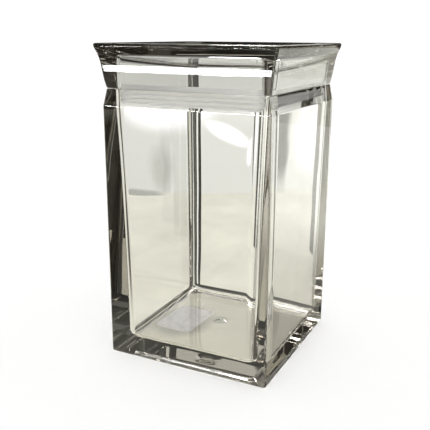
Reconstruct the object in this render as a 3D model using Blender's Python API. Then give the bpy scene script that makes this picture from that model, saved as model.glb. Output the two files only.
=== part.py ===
"""Square glass canister with a flared glass lid.

Four pieces: a pressed glass body, a glass lid with a hollow underside, a clear silicone
seal ring that is held in the lid's hollow and reaches down into the body's mouth, and a
blank paper label under the base. Metres, +Z up, origin at the middle of the base.
"""
import math

import bmesh
import bpy
from mathutils import Matrix, Vector
from mathutils.geometry import interpolate_bezier

# Outside sizes
BODY_WIDTH = 0.102
NECK_WIDTH = 0.0987
LID_TOP_WIDTH = 0.108
TOTAL_HEIGHT = 0.1845
SHOULDER_HEIGHT = 0.1505
RIM_HEIGHT = 0.160
OUTER_CORNER_RADIUS = 0.0014
BASE_EDGE_RADIUS = 0.0018

# Hollow of the body: it narrows towards the floor, faster near the mouth
MOUTH_HALF = 0.0464
FLOOR_HALF = 0.0424
WALL_CURVE = 1.6
FLOOR_HEIGHT = 0.010
FLOOR_FILLET = 0.004
MOUTH_CORNER_RADIUS = 0.007
FLOOR_CORNER_RADIUS = 0.006
RIM_ROUNDING = 0.0008
MARK_RADIUS = 0.0043
MARK_DEPTH = 0.0003

# Underside of the body: a shallow recess inside a standing rim
RECESS_DEPTH = 0.0012
RECESS_HALF = 0.0412
RECESS_CORNER_RADIUS = 0.006
STANDING_RIM_HALF = 0.0446

# Lid
PART_GAP = 0.0003
POCKET_HALF = 0.0446
POCKET_DRAFT = 0.0003
POCKET_CORNER_RADIUS = 0.005
POCKET_FILLET = 0.0015
POCKET_MOUTH_ROUNDING = 0.0008
TOP_PLATE = 0.005
TOP_EDGE_RADIUS = 0.001
FLARE_START = (0.0502, 0.1645)
FLARE_START_HANDLE = (0.0516, 0.1736)
FLARE_END_HANDLE = (0.0511, 0.1752)
FLARE_END = (0.0538, 0.1822)

# Seal ring
SEAL_WALL = 0.0014
SEAL_BOTTOM = 0.151
SEAL_TOP = 0.1632
SEAL_EDGE = 0.0003
FIN_HALF = 0.0457
FIN_CORNER_RADIUS = 0.0067
FIN_HEIGHTS = (0.1526, 0.1550, 0.1574)
FIN_ROOT = 0.0011
FIN_TIP = 0.0003

# Label
LABEL_WIDTH = 0.0255
LABEL_LENGTH = 0.035
LABEL_THICKNESS = 0.0002
LABEL_CENTRE = (-0.0263, 0.0015)
LABEL_TURN = math.radians(-3)
LABEL_CORNER_RADIUS = 0.003

# Mesh fineness
CORNER_STEPS = 4
EDGE_STEPS = 3
WALL_STEPS = 6
FLARE_STEPS = 8

GLASS_COLOUR = (0.86, 0.87, 0.84, 1)
SILICONE_COLOUR = (0.82, 0.84, 0.82, 1)
PAPER_COLOUR = (0.80, 0.80, 0.82, 1)


def clear_scene():
    for item in list(bpy.data.objects):
        bpy.data.objects.remove(item)


def make_material(name, colour, roughness):
    """Make a Principled material of one colour; none of the pieces is metal."""
    material = bpy.data.materials.new(name)
    material.use_nodes = True
    shader = material.node_tree.nodes["Principled BSDF"]
    shader.inputs["Base Color"].default_value = colour
    shader.inputs["Roughness"].default_value = roughness
    shader.inputs["Metallic"].default_value = 0
    return material


def arc(half, height, radius, start, end):
    """Points (half width, height) on an arc; 0 degrees is outward and 90 is up."""
    angles = [math.radians(start + (end - start) * i / EDGE_STEPS) for i in range(EDGE_STEPS + 1)]
    return [(half + radius * math.cos(a), height + radius * math.sin(a)) for a in angles]


def with_corner(points, radius):
    """Give every (half width, height) point the same vertical corner radius."""
    return [(half, radius, height) for half, height in points]


def hollow_half(height):
    """Half width of the body's hollow at a height."""
    share = (height - FLOOR_HEIGHT) / (RIM_HEIGHT - FLOOR_HEIGHT)
    return FLOOR_HALF + (MOUTH_HALF - FLOOR_HALF) * share ** WALL_CURVE


def add_section(bm, half, radius, height):
    """Add the points of one level loop: a square with round corners."""
    radius = min(radius, half * 0.98)
    centre = half - radius
    verts = []
    for quarter, (side_x, side_y) in enumerate(((1, 1), (-1, 1), (-1, -1), (1, -1))):
        for step in range(CORNER_STEPS + 1):
            angle = math.pi / 2 * (quarter + step / CORNER_STEPS)
            x = side_x * centre + radius * math.cos(angle)
            y = side_y * centre + radius * math.sin(angle)
            verts.append(bm.verts.new((x, y, height)))
    return verts


def join_sections(bm, lower, upper):
    """Close the band between two neighbouring loops with one quad for each side."""
    for i in range(len(lower)):
        bm.faces.new((lower[i - 1], lower[i], upper[i], upper[i - 1]))


def add_object(name, bm, material):
    """Finish a mesh with its faces out and put it in the scene."""
    bmesh.ops.recalc_face_normals(bm, faces=bm.faces)
    mesh = bpy.data.meshes.new(name)
    bm.to_mesh(mesh)
    bm.free()
    mesh.shade_smooth()
    mesh.set_sharp_from_angle(angle=math.radians(30))
    mesh.materials.append(material)
    item = bpy.data.objects.new(name, mesh)
    bpy.context.scene.collection.objects.link(item)
    return item


def loft(name, sections, material, ring=False):
    """Join level sections (half width, corner radius, height) into one closed body.

    A ring joins its last section to its first; anything else is capped at both ends.
    """
    bm = bmesh.new()
    loops = [add_section(bm, *section) for section in sections]
    for lower, upper in zip(loops, loops[1:]):
        join_sections(bm, lower, upper)
    if ring:
        join_sections(bm, loops[-1], loops[0])
    else:
        bm.faces.new(reversed(loops[0]))
        bm.faces.new(loops[-1])
    return add_object(name, bm, material)


def body_outside():
    """The body's skin from the recess under the base, up the wall, to the rim."""
    half = BODY_WIDTH / 2
    neck = NECK_WIDTH / 2
    edge = BASE_EDGE_RADIUS
    points = [
        (RECESS_HALF, RECESS_CORNER_RADIUS, RECESS_DEPTH),
        (STANDING_RIM_HALF, RECESS_CORNER_RADIUS, 0),
    ]
    points += with_corner(arc(half - edge, edge, edge, -90, 0), OUTER_CORNER_RADIUS)
    points.append((half, OUTER_CORNER_RADIUS, SHOULDER_HEIGHT - RIM_ROUNDING / 2))
    points.append((half - RIM_ROUNDING / 8, OUTER_CORNER_RADIUS, SHOULDER_HEIGHT + RIM_ROUNDING / 2))
    points.append((neck, OUTER_CORNER_RADIUS, RIM_HEIGHT - RIM_ROUNDING / 2))
    points.append((neck - RIM_ROUNDING / 2, OUTER_CORNER_RADIUS, RIM_HEIGHT))
    return points


def body_inside():
    """The body's skin from the rim down the hollow to the round mark in its floor."""
    top = RIM_HEIGHT - RIM_ROUNDING
    bottom = FLOOR_HEIGHT + FLOOR_FILLET
    lip = arc(hollow_half(top) + RIM_ROUNDING, top, RIM_ROUNDING, 90, 180)
    points = with_corner(lip, MOUTH_CORNER_RADIUS)
    for step in range(1, WALL_STEPS + 1):
        share = step / WALL_STEPS
        height = top + (bottom - top) * share
        radius = MOUTH_CORNER_RADIUS + (FLOOR_CORNER_RADIUS - MOUTH_CORNER_RADIUS) * share
        points.append((hollow_half(height), radius, height))
    fillet = arc(hollow_half(bottom) - FLOOR_FILLET, bottom, FLOOR_FILLET, 0, -90)
    points += with_corner(fillet[1:], FLOOR_CORNER_RADIUS)
    points.append((MARK_RADIUS, MARK_RADIUS, FLOOR_HEIGHT))
    points.append((MARK_RADIUS - MARK_DEPTH, MARK_RADIUS, FLOOR_HEIGHT - MARK_DEPTH))
    return points


def lid_outside():
    """The lid's skin from its underside, up the concave flare, to the top face."""
    bottom = RIM_HEIGHT + PART_GAP
    neck = NECK_WIDTH / 2
    top_half = LID_TOP_WIDTH / 2
    points = [(neck - RIM_ROUNDING / 2, bottom), (neck, bottom + RIM_ROUNDING / 2)]
    knots = (FLARE_START, FLARE_START_HANDLE, FLARE_END_HANDLE, FLARE_END)
    flare = interpolate_bezier(*[Vector(knot) for knot in knots], FLARE_STEPS)
    points += [(point.x, point.y) for point in flare]
    edge = TOP_EDGE_RADIUS
    points += arc(top_half - edge, TOTAL_HEIGHT - edge, edge, 0, 90)
    return with_corner(points, OUTER_CORNER_RADIUS)


def lid_inside():
    """The lid's skin from the middle of its hollow out and down to the underside."""
    ceiling = TOTAL_HEIGHT - TOP_PLATE
    bottom = RIM_HEIGHT + PART_GAP
    fillet = arc(POCKET_HALF - POCKET_FILLET, ceiling - POCKET_FILLET, POCKET_FILLET, 90, 0)
    rounding = POCKET_MOUTH_ROUNDING
    mouth_half = POCKET_HALF + POCKET_DRAFT + rounding
    mouth = arc(mouth_half, bottom + rounding, rounding, 180, 270)
    return with_corner(fillet + mouth, POCKET_CORNER_RADIUS)


def seal_profile():
    """The seal ring's closed outline, up its finned outside and down its plain inside."""
    outer = POCKET_HALF - PART_GAP
    inner = outer - SEAL_WALL
    outer_radius = POCKET_CORNER_RADIUS - PART_GAP
    inner_radius = outer_radius - SEAL_WALL
    points = [(outer, outer_radius, SEAL_BOTTOM)]
    for height in FIN_HEIGHTS:
        points.append((outer, outer_radius, height - FIN_ROOT / 2))
        points.append((FIN_HALF, FIN_CORNER_RADIUS, height))
        points.append((FIN_HALF, FIN_CORNER_RADIUS, height + FIN_TIP))
        points.append((outer, outer_radius, height + FIN_ROOT / 2))
    points.append((outer, outer_radius, SEAL_TOP - SEAL_EDGE))
    points.append((outer - SEAL_EDGE, outer_radius, SEAL_TOP))
    points.append((inner, inner_radius, SEAL_TOP))
    points.append((inner, inner_radius, SEAL_BOTTOM))
    return points


def make_label(material):
    """A thin sheet with round corners, held just clear of the recess above it."""
    bm = bmesh.new()
    bmesh.ops.create_grid(bm, x_segments=1, y_segments=1, size=0.5)
    bmesh.ops.scale(bm, vec=(LABEL_WIDTH, LABEL_LENGTH, 1), verts=bm.verts)
    bmesh.ops.bevel(
        bm, geom=bm.verts[:], offset=LABEL_CORNER_RADIUS, segments=CORNER_STEPS,
        profile=0.5, affect="VERTICES",
    )
    sheet = bmesh.ops.extrude_face_region(bm, geom=bm.faces[:])
    raised = [part for part in sheet["geom"] if isinstance(part, bmesh.types.BMVert)]
    bmesh.ops.translate(bm, vec=(0, 0, LABEL_THICKNESS), verts=raised)
    label = add_object("base_label", bm, material)
    bottom = RECESS_DEPTH - PART_GAP - LABEL_THICKNESS
    place = Matrix.Translation((*LABEL_CENTRE, bottom)) @ Matrix.Rotation(LABEL_TURN, 4, "Z")
    label.matrix_world = place
    return label


def build():
    clear_scene()
    glass = make_material("canister_glass", GLASS_COLOUR, 0.02)
    lid_glass = make_material("lid_glass", GLASS_COLOUR, 0.02)
    silicone = make_material("clear_silicone", SILICONE_COLOUR, 0.35)
    paper = make_material("label_paper", PAPER_COLOUR, 0.7)

    loft("canister_body", body_outside() + body_inside(), glass)
    lid = loft("lid", lid_inside() + lid_outside(), lid_glass)
    seal = loft("seal_ring", seal_profile(), silicone, ring=True)
    make_label(paper)

    lift = bpy.data.objects.new("lid_lift", None)
    bpy.context.scene.collection.objects.link(lift)
    lift.location = (0, 0, RIM_HEIGHT)
    for piece in (lid, seal):
        piece.parent = lift
        piece.matrix_parent_inverse = Matrix.Translation((0, 0, -RIM_HEIGHT))


build()
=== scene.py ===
"""The looks of the square lidded glass canister: glass, seal ring, label, studio and camera.

The three clear pieces are lofted again from level square outlines with round corners, in the
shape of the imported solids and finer. Clear glass mostly shows what stands around it, so most of
the studio is cards, strips and soft spots that glow and that only the glass sees.
"""
import math

import bmesh
import bpy
from mathutils import Matrix, Vector
from mathutils.geometry import interpolate_bezier


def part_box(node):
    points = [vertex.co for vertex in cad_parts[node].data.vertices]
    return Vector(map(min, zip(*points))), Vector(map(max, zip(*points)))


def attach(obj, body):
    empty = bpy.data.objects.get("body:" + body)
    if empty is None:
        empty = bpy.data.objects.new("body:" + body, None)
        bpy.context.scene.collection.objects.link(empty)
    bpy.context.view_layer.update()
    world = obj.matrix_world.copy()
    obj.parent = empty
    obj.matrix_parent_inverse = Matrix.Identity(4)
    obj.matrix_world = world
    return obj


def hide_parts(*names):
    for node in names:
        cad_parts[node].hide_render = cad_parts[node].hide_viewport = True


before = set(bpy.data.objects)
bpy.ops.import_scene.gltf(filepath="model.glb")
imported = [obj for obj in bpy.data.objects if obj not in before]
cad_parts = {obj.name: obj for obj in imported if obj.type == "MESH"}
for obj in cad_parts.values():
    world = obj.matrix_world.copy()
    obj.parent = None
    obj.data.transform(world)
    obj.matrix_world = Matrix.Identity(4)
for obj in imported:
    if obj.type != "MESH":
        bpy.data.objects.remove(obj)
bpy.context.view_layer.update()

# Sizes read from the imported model
_, body_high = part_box("canister_body")
lid_low, lid_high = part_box("lid")
seal_low, seal_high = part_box("seal_ring")
BODY_HALF = body_high.x
RIM_HEIGHT = body_high.z
LID_BOTTOM = lid_low.z
LID_TOP = lid_high.z
LID_HALF = lid_high.x
FIN_HALF = seal_high.x
SEAL_BOTTOM = seal_low.z
SEAL_TOP = seal_high.z

# Outside of the body
NECK_HALF = 0.04935
SHOULDER_HEIGHT = 0.1505
BODY_CORNER = 0.0014
BASE_EDGE = 0.0018
SHOULDER_EDGE = 0.0008
RIM_EDGE = 0.0004
RIM_ARC_START = 10

# Hollow of the body: it narrows towards the floor, faster near the mouth
MOUTH_HALF = 0.0464
FLOOR_HALF = 0.0424
WALL_CURVE = 1.6
FLOOR_HEIGHT = 0.010
FLOOR_FILLET = 0.004
MOUTH_CORNER = 0.007
FLOOR_CORNER = 0.006
MOUTH_EDGE = 0.0008
MARK_RADIUS = 0.0043
MARK_DEPTH = 0.0003

# Underside of the body: a shallow recess inside a standing rim
RECESS_DEPTH = 0.0012
RECESS_HALF = 0.0412
RECESS_CORNER = 0.006
STANDING_RIM_HALF = 0.0446

# Lid: the flare is a curve through (half width, height) points
LID_CORNER = 0.0014
POCKET_HALF = 0.0446
POCKET_DRAFT = 0.0003
POCKET_CORNER = 0.005
POCKET_FILLET = 0.0015
POCKET_EDGE = 0.0008
TOP_PLATE = 0.005
TOP_EDGE = 0.001
NECK_STEP_OUT = 0.0001
NECK_STEP_UP = 0.0002
FLARE = ((0.0502, 0.1645), (0.0516, 0.1736), (0.0511, 0.1752), (0.0538, 0.1822))

# Seal ring, and the half heights of a fin where it leaves the ring and just outside it
SEAL_GAP = 0.0003
SEAL_WALL = 0.0014
SEAL_EDGE = 0.0003
FIN_CORNER = 0.0067
FIN_HEIGHTS = (0.1526, 0.1550, 0.1574)
FIN_ROOT_HALF = 0.0007
FIN_NECK_HALF = 0.0004
FIN_NECK_OUT = 0.0003
FIN_TIP_RISE = 0.0001
FIN_TIP_ROUNDING = 0.0002

# Mesh fineness
SIDE_STEPS = 20
CORNER_STEPS = 12
EDGE_STEPS = 6
FILLET_STEPS = 12
WALL_STEPS = 48
RECESS_STEPS = 8
SHOULDER_STEPS = 7
MARK_STEPS = 6
POCKET_STEPS = 12
NECK_STEPS = 4
FLARE_STEPS = 28
SEAL_EDGE_STEPS = 3
DISC_STEPS = 48
SHARP_ANGLE = math.radians(35)

# Extra outlines that keep flat faces flat where they meet a round edge
SUPPORT = 0.0004
CENTRE_HALF = 0.001
MIDWAY_HALF = 0.03
FLOOR_HALVES = (0.03, 0.02, 0.01)
RECESS_INSET = 0.001
FLOOR_INSET = 0.0005

# Largest corner radius of an outline, as a share of its half width
ROUNDEST_CORNER = 0.98

# Glass: a tint that deepens with thickness, and a faint wave in its skin
GLASS_TINT = (0.83, 0.82, 0.80, 1)
GLASS_DENSITY = 50
GLASS_IOR = 1.5
WAVE_SCALE = 28
WAVE_STRENGTH = 0.10
WAVE_HEIGHT = 0.0015

# Silicone and paper
SILICONE_IOR = 1.41
HAZE_SCALE = 120
HAZE_ROUGHNESS = (0.40, 0.55)
PAPER_ROUGHNESS = 0.75
BLOTCH_SCALE = 220
BLOTCH_RANGE = (0.35, 0.65)
BLOTCH_DARK = (0.64, 0.63, 0.64, 1)
BLOTCH_LIGHT = (0.86, 0.85, 0.86, 1)

# Ground that the camera sees
GROUND_REACH = 3
GROUND_LEVEL = -0.0002
GROUND_COLOUR = (0.97, 0.97, 0.965)
GROUND_ROUGHNESS = 0.9

# Layers of the table that the glass sees, the lowest first
TABLE = -0.00014
WIDE_SPOTS = -0.00012
NEAR_SPOT = -0.00011
PATCHES = -0.0001
LABEL_SHADE = -0.00009
MARK_SHADE = -0.00008
BACK_GLOW = 0.0

# Mottling of the table: size, and the part of the noise that is used
GRAIN_SCALE = 14
GRAIN_RANGE = (0.3, 0.7)

# Sides of the studio as the camera sees them: azimuths in degrees, from +Y towards +X
BACK = 330
BACK_RIGHT = 14
RIGHT = 60
FRONT = 150
FRONT_LEFT = 207
LEFT = 240

# Layers of the backdrop: distances from the axis of the canister, the farthest first
BACKDROP = 0.34
BACKDROP_TOP = 0.335
LOBE = 0.332
ARCHES = 0.33
WEDGE = 0.325

# Flags behind the back left corner, from the outside in: one is bright, and all are short of blue
FLAG_LEFT = -0.057
FLAG_BACK = 0.056
FLAG_WIDTH = 0.0025
FLAG_TOP = 0.158
FLAG_SHADES = (0.03, 0.10, 0.07, 1.20, 0.05)
FLAG_BLUE = 0.93
CARD_TOP = 0.19
LID_FLAG_BOTTOM = 0.1795
BASE_FLAG_REACH = 0.054

# Room: walls at this distance, as wide each way and as high
ROOM_REACH = 1.6
CEILING_REACH = 2.5
BLACK = (0.025, 0.019, 0.014)
ROOM_WALLS = (
    ("room_back", BACK, (0.45, 0.44, 0.42)),
    ("room_right", RIGHT, BLACK),
    ("room_front", FRONT, (0.16, 0.16, 0.15)),
    ("room_left", LEFT, (0.7, 0.7, 0.65)),
)

# World: bright enough that the far edge of the ground doesn't show against it
WORLD_STRENGTH = 1.08

# Camera: angles in degrees, place in body widths, lens and sensor in millimetres
CAMERA_YAW = 26.293
CAMERA_PITCH = 15.590
CAMERA_ROLL = 0.321
CAMERA_PLACE = (1.6471, -3.4471, 1.8621)
CAMERA_LENS = 54.603
CAMERA_SENSOR = 36
CAMERA_CLIP = 0.01

# Light paths: enough to pass through every pane of the glass
GLASS_BOUNCES = 24
GLOSSY_BOUNCES = 16


def spread(start, end, steps):
    """Evenly spaced values from start to end, both included."""
    return [start + (end - start) * i / steps for i in range(steps + 1)]


def arc(half, height, radius, start, end, steps=EDGE_STEPS):
    """Points (half width, height) on an arc; 0 degrees is outward and 90 is up."""
    angles = [math.radians(angle) for angle in spread(start, end, steps)]
    return [(half + radius * math.cos(a), height + radius * math.sin(a)) for a in angles]


def with_corner(points, radius):
    """Give every (half width, height) point the same vertical corner radius."""
    return [(half, radius, height) for half, height in points]


def hollow_half(height):
    """Half width of the body's hollow at a height."""
    share = max(0, (height - FLOOR_HEIGHT) / (RIM_HEIGHT - FLOOR_HEIGHT))
    return FLOOR_HALF + (MOUTH_HALF - FLOOR_HALF) * share ** WALL_CURVE


def quarter_outline(half, radius):
    """Points of the +X side and the corner after it, with two close to each end of the flat."""
    flat_half = half - radius
    inner = flat_half - min(SUPPORT, flat_half / 4)
    points = [(half, -flat_half), (half, -inner)]
    points += [(half, inner * (2 * i / SIDE_STEPS - 1)) for i in range(1, SIDE_STEPS)]
    points.append((half, inner))
    for step in range(CORNER_STEPS):
        angle = math.pi / 2 * step / CORNER_STEPS
        points.append((flat_half + radius * math.cos(angle), flat_half + radius * math.sin(angle)))
    return points


def section_points(half, radius, height):
    """A whole level outline: the quarter outline turned four times."""
    quarter = quarter_outline(half, min(radius, half * ROUNDEST_CORNER))
    points = []
    for cos, sin in ((1, 0), (0, 1), (-1, 0), (0, -1)):
        for x, y in quarter:
            points.append(Vector((cos * x - sin * y, sin * x + cos * y, height)))
    return points


def join_sections(bm, lower, upper):
    """Fill the band between two outlines."""
    for i in range(len(lower)):
        bm.faces.new((lower[i - 1], lower[i], upper[i], upper[i - 1]))


def loft(name, sections, material, ring=False):
    """Join level sections (half width, corner radius, height) into one smooth closed body.

    A ring joins its last section to its first; anything else is capped at both ends.
    """
    bm = bmesh.new()
    loops = [[bm.verts.new(point) for point in section_points(*section)] for section in sections]
    if not ring:
        bm.faces.new(reversed(loops[0]))
        bm.faces.new(loops[-1])
    for lower, upper in zip(loops, loops[1:]):
        join_sections(bm, lower, upper)
    if ring:
        join_sections(bm, loops[-1], loops[0])
    bmesh.ops.recalc_face_normals(bm, faces=bm.faces)
    mesh = bpy.data.meshes.new(name)
    bm.to_mesh(mesh)
    bm.free()
    mesh.shade_smooth()
    mesh.set_sharp_from_angle(angle=SHARP_ANGLE)
    mesh.materials.append(material)
    piece = bpy.data.objects.new(name, mesh)
    bpy.context.scene.collection.objects.link(piece)
    return piece


def underside_sections():
    """The recess under the base, the smooth step down to the standing rim, and the base edge."""
    points = [
        (half, RECESS_DEPTH) for half in (CENTRE_HALF, MIDWAY_HALF, RECESS_HALF - RECESS_INSET)
    ]
    for share in spread(0, 1, RECESS_STEPS):
        half = RECESS_HALF + (STANDING_RIM_HALF - RECESS_HALF) * share
        points.append((half, RECESS_DEPTH * (1 + math.cos(math.pi * share)) / 2))
    points.append((STANDING_RIM_HALF + SUPPORT, 0))
    edge = [(BODY_HALF - BASE_EDGE - SUPPORT, 0)]
    edge += arc(BODY_HALF - BASE_EDGE, BASE_EDGE, BASE_EDGE, -90, 0)
    return with_corner(points, RECESS_CORNER) + with_corner(edge, BODY_CORNER)


def outside_sections():
    """The flat wall, the bend into the sloping shoulder, the shoulder and the rim."""
    slope = (BODY_HALF - NECK_HALF) / (RIM_HEIGHT - SHOULDER_HEIGHT)
    bend = SHOULDER_HEIGHT - SHOULDER_EDGE / 2
    rim = RIM_HEIGHT - RIM_EDGE
    points = [
        (BODY_HALF, height) for height in spread(BASE_EDGE + SUPPORT, bend - SUPPORT, WALL_STEPS)
    ]
    for share in spread(0, 1, EDGE_STEPS):
        half = BODY_HALF - slope * SHOULDER_EDGE * share ** 2 / 2
        points.append((half, bend + SHOULDER_EDGE * share))
    start = bend + SHOULDER_EDGE + SUPPORT / 2
    for height in spread(start, rim - SUPPORT / 2, SHOULDER_STEPS):
        points.append((BODY_HALF - slope * (height - SHOULDER_HEIGHT), height))
    points += arc(NECK_HALF - RIM_EDGE, rim, RIM_EDGE, RIM_ARC_START, 90)
    points.append((NECK_HALF - RIM_EDGE - SUPPORT, RIM_HEIGHT))
    return with_corner(points, BODY_CORNER)


def hollow_sections():
    """The lip, the narrowing inner wall, the fillet and the flat floor."""
    top = RIM_HEIGHT - MOUTH_EDGE
    bottom = FLOOR_HEIGHT + FLOOR_FILLET
    lip_half = hollow_half(top) + MOUTH_EDGE
    lip = [(lip_half + SUPPORT / 2, RIM_HEIGHT)] + arc(lip_half, top, MOUTH_EDGE, 90, 180)
    sections = with_corner(lip, MOUTH_CORNER)
    for share in spread(0, 1, WALL_STEPS):
        height = top - SUPPORT + (bottom - top + SUPPORT) * share
        radius = MOUTH_CORNER + (FLOOR_CORNER - MOUTH_CORNER) * share
        sections.append((hollow_half(height), radius, height))
    centre = hollow_half(bottom) - FLOOR_FILLET
    floor = arc(centre, bottom, FLOOR_FILLET, 0, -90, FILLET_STEPS)[1:]
    floor += [(half, FLOOR_HEIGHT) for half in (centre - FLOOR_INSET, *FLOOR_HALVES)]
    return sections + with_corner(floor, FLOOR_CORNER)


def mark_sections():
    """The round mark: a shallow dimple in the middle of the floor."""
    sections = []
    for share in spread(0, 1, MARK_STEPS):
        half = MARK_RADIUS - 2 * MARK_DEPTH * share
        drop = MARK_DEPTH * (1 - math.cos(math.pi * share)) / 2
        sections.append((half, half, FLOOR_HEIGHT - drop))
    sections.append((CENTRE_HALF, CENTRE_HALF, FLOOR_HEIGHT - MARK_DEPTH))
    return sections


def body_sections():
    """The whole skin of the body, from the middle of its underside to the middle of its floor."""
    return underside_sections() + outside_sections() + hollow_sections() + mark_sections()


def lid_hollow_sections():
    """The lid's hollow, from the middle of its ceiling out and down to the underside."""
    ceiling = LID_TOP - TOP_PLATE
    fillet = POCKET_FILLET
    points = [
        (half, ceiling) for half in (CENTRE_HALF, MIDWAY_HALF, POCKET_HALF - fillet - SUPPORT)
    ]
    points += arc(POCKET_HALF - fillet, ceiling - fillet, fillet, 90, 0)
    wall_top = ceiling - fillet - SUPPORT
    wall_bottom = LID_BOTTOM + POCKET_EDGE + SUPPORT / 2
    for share in spread(0, 1, POCKET_STEPS):
        height = wall_top + (wall_bottom - wall_top) * share
        points.append((POCKET_HALF + POCKET_DRAFT * share, height))
    mouth = POCKET_HALF + POCKET_DRAFT + POCKET_EDGE
    points += arc(mouth, LID_BOTTOM + POCKET_EDGE, POCKET_EDGE, 180, 270)
    return with_corner(points, POCKET_CORNER)


def lid_outside_sections():
    """The lid's skin from its underside, up the concave flare, to the middle of its top."""
    knots = [Vector(knot) for knot in FLARE]
    points = [(NECK_HALF - RIM_EDGE - SUPPORT, LID_BOTTOM)]
    points += arc(NECK_HALF - RIM_EDGE, LID_BOTTOM + RIM_EDGE, RIM_EDGE, -90, -RIM_ARC_START)
    neck = Vector((NECK_HALF + NECK_STEP_OUT, LID_BOTTOM + RIM_EDGE + NECK_STEP_UP))
    points += [neck.lerp(knots[0], step / NECK_STEPS)[:] for step in range(NECK_STEPS)]
    points += [(point.x, point.y) for point in interpolate_bezier(*knots, FLARE_STEPS)]
    points += arc(LID_HALF - TOP_EDGE, LID_TOP - TOP_EDGE, TOP_EDGE, 0, 90)
    points += [
        (half, LID_TOP) for half in (LID_HALF - TOP_EDGE - SUPPORT, MIDWAY_HALF, CENTRE_HALF)
    ]
    return with_corner(points, LID_CORNER)


def fin_sections(height, root, root_corner):
    """One fin of the seal, from under its root, round its tip, to above its root."""
    neck = root + FIN_NECK_OUT
    neck_corner = root_corner + FIN_NECK_OUT
    tip = height + FIN_TIP_RISE
    return [
        (root, root_corner, height - FIN_ROOT_HALF),
        (neck, neck_corner, height - FIN_NECK_HALF),
        (FIN_HALF - FIN_TIP_ROUNDING, FIN_CORNER, tip - FIN_TIP_ROUNDING),
        (FIN_HALF, FIN_CORNER, tip),
        (FIN_HALF - FIN_TIP_ROUNDING, FIN_CORNER, tip + FIN_TIP_ROUNDING),
        (neck, neck_corner, height + FIN_NECK_HALF),
        (root, root_corner, height + FIN_ROOT_HALF),
    ]


def seal_sections():
    """The ring's closed outline, up its finned outside and down its plain inside."""
    outer = POCKET_HALF - SEAL_GAP
    inner = outer - SEAL_WALL
    outer_corner = POCKET_CORNER - SEAL_GAP
    inner_corner = outer_corner - SEAL_WALL
    edge = SEAL_EDGE
    low = SEAL_BOTTOM + edge
    high = SEAL_TOP - edge
    steps = SEAL_EDGE_STEPS
    sections = with_corner(arc(outer - edge, low, edge, -90, 0, steps), outer_corner)
    for height in FIN_HEIGHTS:
        sections += fin_sections(height, outer, outer_corner)
    sections += with_corner(arc(outer - edge, high, edge, 0, 90, steps), outer_corner)
    sections += with_corner(arc(inner + edge, high, edge, 90, 180, steps), inner_corner)
    sections += with_corner(arc(inner + edge, low, edge, 180, 270, steps), inner_corner)
    return sections


def new_material(name):
    """An empty node material, with its nodes and links."""
    material = bpy.data.materials.new(name)
    material.use_nodes = True
    return material, material.node_tree.nodes, material.node_tree.links


def object_noise(nodes, links, scale, detail):
    """A noise pattern that is fixed to the object."""
    place = nodes.new("ShaderNodeTexCoord")
    noise = nodes.new("ShaderNodeTexNoise")
    noise.inputs["Scale"].default_value = scale
    noise.inputs["Detail"].default_value = detail
    links.new(place.outputs["Object"], noise.inputs["Vector"])
    return noise


def glass_material(name):
    """Clear pressed glass: a faint tint that deepens with thickness and a slightly wavy skin."""
    material, nodes, links = new_material(name)
    shader = nodes["Principled BSDF"]
    shader.inputs["Base Color"].default_value = (1, 1, 1, 1)
    shader.inputs["IOR"].default_value = GLASS_IOR
    shader.inputs["Roughness"].default_value = 0
    shader.inputs["Transmission Weight"].default_value = 1
    wave = object_noise(nodes, links, WAVE_SCALE, detail=1)
    bump = nodes.new("ShaderNodeBump")
    bump.inputs["Strength"].default_value = WAVE_STRENGTH
    bump.inputs["Distance"].default_value = WAVE_HEIGHT
    links.new(wave.outputs["Fac"], bump.inputs["Height"])
    links.new(bump.outputs["Normal"], shader.inputs["Normal"])
    tint = nodes.new("ShaderNodeVolumeAbsorption")
    tint.inputs["Color"].default_value = GLASS_TINT
    tint.inputs["Density"].default_value = GLASS_DENSITY
    links.new(tint.outputs["Volume"], nodes["Material Output"].inputs["Volume"])
    return material


def silicone_material():
    """Clear silicone with a satin skin that is hazier in some places than in others."""
    material, nodes, links = new_material("clear_silicone")
    shader = nodes["Principled BSDF"]
    shader.inputs["Base Color"].default_value = (1, 1, 1, 1)
    shader.inputs["IOR"].default_value = SILICONE_IOR
    shader.inputs["Transmission Weight"].default_value = 1
    haze = object_noise(nodes, links, HAZE_SCALE, detail=2)
    roughness = nodes.new("ShaderNodeMapRange")
    roughness.inputs["To Min"].default_value = HAZE_ROUGHNESS[0]
    roughness.inputs["To Max"].default_value = HAZE_ROUGHNESS[1]
    links.new(haze.outputs["Fac"], roughness.inputs["Value"])
    links.new(roughness.outputs["Result"], shader.inputs["Roughness"])
    return material


def paper_material():
    """Matt white paper with soft grey blotches."""
    material, nodes, links = new_material("label_paper")
    shader = nodes["Principled BSDF"]
    shader.inputs["Roughness"].default_value = PAPER_ROUGHNESS
    blotch = object_noise(nodes, links, BLOTCH_SCALE, detail=4)
    colours = nodes.new("ShaderNodeValToRGB")
    dark, light = colours.color_ramp.elements
    dark.position, light.position = BLOTCH_RANGE
    dark.color = BLOTCH_DARK
    light.color = BLOTCH_LIGHT
    links.new(blotch.outputs["Fac"], colours.inputs["Fac"])
    links.new(colours.outputs["Color"], shader.inputs["Base Color"])
    return material


def ground_material():
    """Matt white paint without a sheen."""
    material, nodes, _ = new_material("floor_paint")
    shader = nodes["Principled BSDF"]
    shader.inputs["Base Color"].default_value = (*GROUND_COLOUR, 1)
    shader.inputs["Roughness"].default_value = GROUND_ROUGHNESS
    shader.inputs["Specular IOR Level"].default_value = 0
    return material


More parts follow.
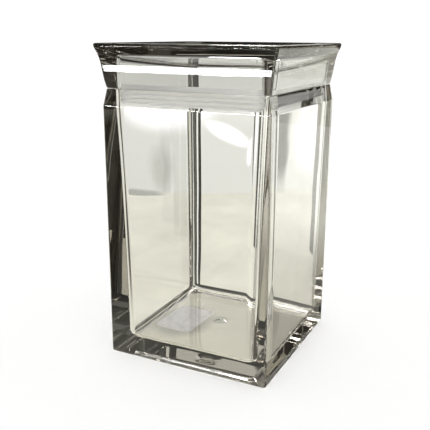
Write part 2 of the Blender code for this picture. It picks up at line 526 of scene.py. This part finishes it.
def glow_material(name, colour, grain=0):
    """An even glow, or a mottled one whose strength varies by the grain each way."""
    material, nodes, links = new_material(name)
    glow = nodes.new("ShaderNodeEmission")
    glow.inputs["Color"].default_value = (*colour, 1)
    if grain:
        cloud = object_noise(nodes, links, GRAIN_SCALE, detail=3)
        level = nodes.new("ShaderNodeMapRange")
        level.inputs["From Min"].default_value = GRAIN_RANGE[0]
        level.inputs["From Max"].default_value = GRAIN_RANGE[1]
        level.inputs["To Min"].default_value = 1 - grain
        level.inputs["To Max"].default_value = 1 + grain
        links.new(cloud.outputs["Fac"], level.inputs["Value"])
        links.new(level.outputs["Result"], glow.inputs["Strength"])
    links.new(glow.outputs["Emission"], nodes["Material Output"].inputs["Surface"])
    return material


def fading_material(name, near, far):
    """A glow that changes colour smoothly along Y."""
    material = glow_material(name, near)
    nodes = material.node_tree.nodes
    links = material.node_tree.links
    place = nodes.new("ShaderNodeTexCoord")
    axes = nodes.new("ShaderNodeSeparateXYZ")
    fade = nodes.new("ShaderNodeMapRange")
    fade.interpolation_type = "SMOOTHSTEP"
    mix = nodes.new("ShaderNodeMix")
    mix.data_type = "RGBA"
    mix.inputs["A"].default_value = (*near, 1)
    mix.inputs["B"].default_value = (*far, 1)
    links.new(place.outputs["Generated"], axes.inputs["Vector"])
    links.new(axes.outputs["Y"], fade.inputs["Value"])
    links.new(fade.outputs["Result"], mix.inputs["Factor"])
    links.new(mix.outputs["Result"], nodes["Emission"].inputs["Color"])
    return material


def soft_material(name, colour, softness):
    """A glow that fades out towards the rim of a disc of radius one."""
    material, nodes, links = new_material(name)
    place = nodes.new("ShaderNodeTexCoord")
    radial = nodes.new("ShaderNodeTexGradient")
    radial.gradient_type = "SPHERICAL"
    fade = nodes.new("ShaderNodeMapRange")
    fade.interpolation_type = "SMOOTHSTEP"
    fade.inputs["From Max"].default_value = softness
    clear = nodes.new("ShaderNodeBsdfTransparent")
    glow = nodes.new("ShaderNodeEmission")
    glow.inputs["Color"].default_value = (*colour, 1)
    blend = nodes.new("ShaderNodeMixShader")
    links.new(place.outputs["Object"], radial.inputs["Vector"])
    links.new(radial.outputs["Fac"], fade.inputs["Value"])
    links.new(fade.outputs["Result"], blend.inputs["Fac"])
    links.new(clear.outputs["BSDF"], blend.inputs[1])
    links.new(glow.outputs["Emission"], blend.inputs[2])
    links.new(blend.outputs["Shader"], nodes["Material Output"].inputs["Surface"])
    return material


def stage_sheet(name, corners, material, seen=False):
    """A flat sheet of the studio; an unseen one only shows in the glass."""
    mesh = bpy.data.meshes.new(name)
    mesh.from_pydata(corners, [], [range(len(corners))])
    mesh.materials.append(material)
    sheet = bpy.data.objects.new(name, mesh)
    bpy.context.scene.collection.objects.link(sheet)
    if not seen:
        sheet.visible_camera = False
        sheet.visible_diffuse = False
        sheet.visible_shadow = False
    return sheet


def level_corners(corner, opposite, height):
    """The four corners of a level rectangle."""
    (x0, y0), (x1, y1) = corner, opposite
    return [(x0, y0, height), (x1, y0, height), (x1, y1, height), (x0, y1, height)]


def flat(name, corner, opposite, colour, height=PATCHES, grain=0):
    """A level rectangle that glows."""
    corners = level_corners(corner, opposite, height)
    return stage_sheet(name, corners, glow_material(name, colour, grain))


def fading(name, corner, opposite, near, far, height):
    """A level rectangle that changes colour from its near side to its far side."""
    corners = level_corners(corner, opposite, height)
    return stage_sheet(name, corners, fading_material(name, near, far))


def strip(name, start, end, up, colour):
    """An upright rectangle between two points of the ground, from one height to another."""
    low, high = up
    corners = [(*start, low), (*end, low), (*end, high), (*start, high)]
    return stage_sheet(name, corners, glow_material(name, colour))


def card_axes(azimuth):
    """The level directions out to a card at an azimuth, and along it to the right."""
    angle = math.radians(azimuth)
    out = Vector((math.sin(angle), math.cos(angle), 0))
    side = Vector((math.cos(angle), -math.sin(angle), 0))
    return out, side


def on_card(azimuth, distance, across, up):
    """A point of the upright card that faces the object at an azimuth and distance."""
    out, side = card_axes(azimuth)
    return out * distance + side * across + Vector((0, 0, up))


def panel(name, azimuth, distance, across, up, colour):
    """An upright card, given by its two sides and by its foot and top."""
    left, right = across
    low, high = up
    outline = [(left, low), (right, low), (right, high), (left, high)]
    corners = [on_card(azimuth, distance, *point) for point in outline]
    return stage_sheet(name, corners, glow_material(name, colour))


def soft_disc(name, colour, softness):
    """A level disc of radius one that fades out towards its rim."""
    angles = [2 * math.pi * i / DISC_STEPS for i in range(DISC_STEPS)]
    rim = [(math.cos(angle), math.sin(angle), 0) for angle in angles]
    return stage_sheet(name, rim, soft_material(name, colour, softness))


def ellipse(name, azimuth, distance, centre, halves, colour, tilt=0, softness=0.4):
    """An upright soft ellipse in the plane of a card, tilted anticlockwise in degrees."""
    disc = soft_disc(name, colour, softness)
    side = card_axes(azimuth)[1]
    lift = Vector((0, 0, 1))
    tilt = math.radians(tilt)
    long_axis = (side * math.cos(tilt) + lift * math.sin(tilt)) * halves[0]
    short_axis = (lift * math.cos(tilt) - side * math.sin(tilt)) * halves[1]
    turn = Matrix((long_axis, short_axis, side.cross(lift))).transposed().to_4x4()
    disc.matrix_world = Matrix.Translation(on_card(azimuth, distance, *centre)) @ turn
    return disc


def spot(name, centre, halves, colour, softness=0.5, height=WIDE_SPOTS):
    """A soft ellipse lying on the table."""
    disc = soft_disc(name, colour, softness)
    disc.location = (*centre, height)
    disc.scale = (*halves, 1)
    return disc


def reflect_only_in(light, piece):
    """Let a glowing card show in one piece only, and there by reflection only."""
    group = bpy.data.collections.new(light.name)
    group.objects.link(piece)
    light.light_linking.receiver_collection = group
    light.visible_transmission = False


def place_piece(piece, body, node):
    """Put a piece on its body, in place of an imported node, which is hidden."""
    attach(piece, body)
    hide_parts(node)


def build_pieces():
    """Make the glass body, the glass lid and the seal, and give the label its paper."""
    body_glass = glass_material("body_glass")
    lid_glass = glass_material("lid_glass")
    body = loft("glass_body", body_sections(), body_glass)
    place_piece(body, "canister", "canister_body")
    lid = loft("glass_lid", lid_hollow_sections() + lid_outside_sections(), lid_glass)
    place_piece(lid, "lid", "lid")
    seal = loft("silicone_seal", seal_sections(), silicone_material(), ring=True)
    place_piece(seal, "lid", "seal_ring")
    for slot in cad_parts["base_label"].material_slots:
        slot.material = paper_material()
    return body, lid


def build_ground():
    """The ground that the camera sees; the glass sees the table instead."""
    near, far = (-GROUND_REACH, -GROUND_REACH), (GROUND_REACH, GROUND_REACH)
    corners = level_corners(near, far, GROUND_LEVEL)
    ground = stage_sheet("floor", corners, ground_material(), seen=True)
    ground.visible_glossy = False
    ground.visible_transmission = False


def build_table():
    """The table that the glass sees: pale, dim to the left and dark beside the right face."""
    side = BODY_HALF
    dim = (0.38, 0.37, 0.32)
    bright = (1.35, 1.35, 1.25)
    flat("table", (-2.3, -2.3), (2.3, 2.3), (0.96, 0.95, 0.82), TABLE, grain=0.12)
    # The table under the body is darker than the rest of it: painted shade under the canister.
    flat("shaded_table_under_body", (-side, -side), (side, side), (0.64, 0.62, 0.51), grain=0.1)
    spot("dim_front_left", (-0.50, -0.60), (0.56, 0.66), (0.12, 0.11, 0.10))
    spot("dim_near_left", (-0.21, -0.22), (0.20, 0.21), (0.12, 0.11, 0.10), 0.4, NEAR_SPOT)
    spot("glow_left", (-0.40, -0.125), (0.24, 0.10), (1.6, 1.6, 1.5))
    spot("shade_by_label", (-0.026, -0.001), (0.023, 0.028), (0.30, 0.30, 0.255), 0.6, LABEL_SHADE)
    spot("shade_under_mark", (-0.0056, 0.0114), (0.0068, 0.0068), (0.38, 0.38, 0.32), 0.4, MARK_SHADE)
    flat("dark_right", (side, -side), (0.11, side), (0.06, 0.05, 0.04))
    flat("dim_back_right", (side, side), (0.4, 0.10), dim)
    fading("glow_back", (side, 0.10), (0.4, 0.30), dim, bright, BACK_GLOW)
    flat("glow_far", (side, 0.30), (0.6, 1.0), bright)


def build_backdrop():
    """The pale backdrop behind the canister, with bright arches, one dark wedge and a painted shadow
    at its foot.
    """
    panel("backdrop_left", BACK, BACKDROP, (-0.40, -0.034), (0, 0.25), (0.84, 0.84, 0.79))
    ellipse("lobe", BACK, LOBE, (-0.044, 0.028), (0.018, 0.038), (0.60, 0.60, 0.55), softness=0.8)
    panel("backdrop_right", BACK, BACKDROP, (-0.034, 0.32), (0, 0.25), (0.98, 0.99, 0.92))
    panel("backdrop_top", BACK, BACKDROP_TOP, (-0.40, 0.32), (0.185, 0.25), (0.78, 0.79, 0.73))
    ellipse("arch_left", BACK, ARCHES, (-0.036, 0.108), (0.072, 0.046), (1.45, 1.45, 1.45))
    ellipse("arch_right", BACK, ARCHES, (0.031, 0.069), (0.033, 0.010), (1.6, 1.6, 1.6), tilt=-27)
    ellipse("arch_end", BACK, ARCHES, (0.057, 0.050), (0.005, 0.020), (1.6, 1.6, 1.6), tilt=-8)
    ellipse("arch_far", BACK, ARCHES, (0.132, 0.070), (0.030, 0.060), (1.3, 1.3, 1.3), tilt=-10)
    # A darker soft ellipse at the foot of the backdrop: painted shadow.
    ellipse("shadow_at_backdrop_foot", BACK, ARCHES, (-0.072, 0.0), (0.034, 0.008), (0.45, 0.45, 0.41))
    ellipse("wedge", BACK, WEDGE, (0.090, 0.095), (0.012, 0.105), (0.05, 0.05, 0.045), tilt=2)
    panel("dark_strip", BACK_RIGHT, 0.18, (-0.035, 0.005), (0, 0.16), (0.05, 0.045, 0.04))


def build_flags():
    """Strips close to the glass, for its back left corner, the lid's rim and the base."""
    for i, shade in enumerate(FLAG_SHADES):
        left = FLAG_LEFT + FLAG_WIDTH * i
        colour = (shade, shade, FLAG_BLUE * shade)
        start, end = (left, FLAG_BACK), (left + FLAG_WIDTH, FLAG_BACK)
        strip(f"corner_flag_{i}", start, end, (0, FLAG_TOP), colour)
    start, end = (FLAG_LEFT, FLAG_BACK), (FLAG_LEFT + len(FLAG_SHADES) * FLAG_WIDTH, FLAG_BACK)
    strip("lid_corner_flag", start, end, (FLAG_TOP, CARD_TOP), (0.10, 0.095, 0.09))
    strip("corner_fin", (-0.0435, 0.0525), (-0.0899, 0.141), (0, CARD_TOP), BLACK)
    lid_flag = (LID_FLAG_BOTTOM, CARD_TOP)
    strip("lid_flag_back", (-0.058, 0.057), (0.058, 0.057), lid_flag, (0.01, 0.008, 0.006))
    strip("lid_flag_left", (-0.057, -0.056), (-0.057, 0.056), lid_flag, (0.03, 0.03, 0.03))
    start, end = (-BASE_FLAG_REACH, BASE_FLAG_REACH), (BASE_FLAG_REACH, BASE_FLAG_REACH)
    strip("base_flag_low", start, end, (0.0, 0.003), (0.20, 0.20, 0.185))
    strip("base_flag_high", start, end, (0.003, 0.0085), (0.03, 0.03, 0.027))


def build_lights(body, lid):
    """A bar that shows in the lid, a low window that shows in the body, and a softbox above."""
    bar = strip("light_bar", (-0.46, -0.555), (-0.115, -0.555), (0, 0.018), (24, 24, 24))
    reflect_only_in(bar, lid)
    window = panel("low_window", FRONT_LEFT, 1.2, (-0.35, 0.35), (0.17, 0.30), (30, 30, 30))
    reflect_only_in(window, body)
    flat("softbox", (-0.55, -0.55), (0.55, 0.55), (27, 27, 27), height=1.3)


def build_room():
    """Dim walls all round, a darker card to the front left, and a ceiling."""
    panel("room_dark", FRONT_LEFT, 1.45, (-0.55, 0.55), (0.0, 1.6), (0.02, 0.02, 0.02))
    for name, azimuth, colour in ROOM_WALLS:
        panel(name, azimuth, ROOM_REACH, (-ROOM_REACH, ROOM_REACH), (0.0, ROOM_REACH), colour)
    near, far = (-CEILING_REACH, -CEILING_REACH), (CEILING_REACH, CEILING_REACH)
    flat("ceiling", near, far, (0.12, 0.12, 0.11), height=ROOM_REACH)


def build_world():
    """A plain white world."""
    world = bpy.data.worlds.new("studio")
    bpy.context.scene.world = world
    world.use_nodes = True
    background = world.node_tree.nodes["Background"]
    background.inputs["Color"].default_value = (1, 1, 1, 1)
    background.inputs["Strength"].default_value = WORLD_STRENGTH


def add_camera():
    """The camera stands front right of the canister and looks slightly down on it."""
    yaw = math.radians(CAMERA_YAW)
    pitch = math.radians(CAMERA_PITCH)
    roll = math.radians(CAMERA_ROLL)
    level = Vector((math.cos(yaw), math.sin(yaw), 0))
    ahead = Vector((
        -math.sin(yaw) * math.cos(pitch),
        math.cos(yaw) * math.cos(pitch),
        -math.sin(pitch),
    ))
    above = level.cross(ahead)
    right = math.cos(roll) * level + math.sin(roll) * above
    up = math.cos(roll) * above - math.sin(roll) * level
    camera = bpy.data.objects.new("camera", bpy.data.cameras.new("camera"))
    bpy.context.scene.collection.objects.link(camera)
    place = Vector(CAMERA_PLACE) * (2 * BODY_HALF)
    turn = Matrix((right, up, -ahead)).transposed().to_4x4()
    camera.matrix_world = Matrix.Translation(place) @ turn
    camera.data.sensor_width = CAMERA_SENSOR
    camera.data.lens = CAMERA_LENS
    camera.data.clip_start = CAMERA_CLIP
    bpy.context.scene.camera = camera


def set_light_paths():
    """Let light pass through all the glass, and keep the colours as they are."""
    cycles = bpy.context.scene.cycles
    cycles.max_bounces = GLASS_BOUNCES
    cycles.transmission_bounces = GLASS_BOUNCES
    cycles.glossy_bounces = GLOSSY_BOUNCES
    bpy.context.scene.view_settings.view_transform = "Standard"


glass_body, glass_lid = build_pieces()
build_ground()
build_table()
build_backdrop()
build_flags()
build_lights(glass_body, glass_lid)
build_room()
build_world()
add_camera()
set_light_paths()
